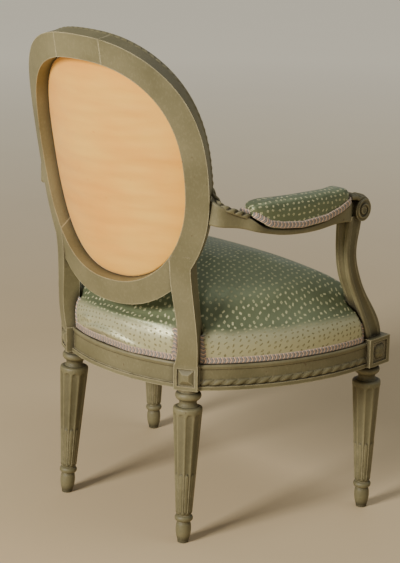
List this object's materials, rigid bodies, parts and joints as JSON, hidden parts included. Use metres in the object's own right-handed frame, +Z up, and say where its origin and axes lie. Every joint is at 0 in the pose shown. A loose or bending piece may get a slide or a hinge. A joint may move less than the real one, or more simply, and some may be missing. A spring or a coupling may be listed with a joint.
{
  "type": "upholstered armchair",
  "caption": "Armchair with an oval curved back, fluted turned legs, padded scroll-ended arms and a domed upholstered seat.",
  "frame": {"origin": "centre of the object's footprint box on the floor", "axes": "+Z up, the sitter faces -Y, the sitter's right arm is at -X"},
  "size_m": [0.595, 0.4937, 0.8766],
  "materials": {
    "painted_wood": "aged grey-green paint, worn cream at the edges",
    "seat_satin": "green satin with small gold motifs",
    "back_cloth": "apricot satin",
    "braid": "woven pink-grey gimp braid",
    "stuffing": "horsehair stuffing",
    "hessian": "plain woven jute",
    "webbing": "woven jute webbing",
    "bare_wood": "unpainted beech"
  },
  "bodies": {
    "root": {"front_leg_right": "painted_wood", "front_leg_left": "painted_wood", "rear_upright_right": "painted_wood", "rear_upright_left": "painted_wood", "arm_right": "painted_wood", "arm_left": "painted_wood", "arm_support_right": "painted_wood", "arm_support_left": "painted_wood", "crest_rail": "painted_wood", "lower_back_rail": "painted_wood", "seat_rail_back": "painted_wood", "seat_rail_front": "painted_wood", "seat_rail_right": "painted_wood", "seat_rail_left": "painted_wood", "arm_pad_cover_right": "seat_satin", "arm_pad_cover_left": "seat_satin", "seat_cover": "seat_satin", "inside_back_cover": "seat_satin", "outer_back_cloth": "back_cloth", "arm_pad_gimp_right": "braid", "arm_pad_gimp_left": "braid", "seat_gimp": "braid", "back_gimp": "braid", "arm_pad_stuffing_right": "stuffing", "arm_pad_stuffing_left": "stuffing", "seat_stuffing": "stuffing", "back_stuffing": "stuffing", "seat_hessian": "hessian", "back_hessian": "hessian", "seat_webbing": "webbing", "corner_braces": "bare_wood"}
  },
  "joints": []
}
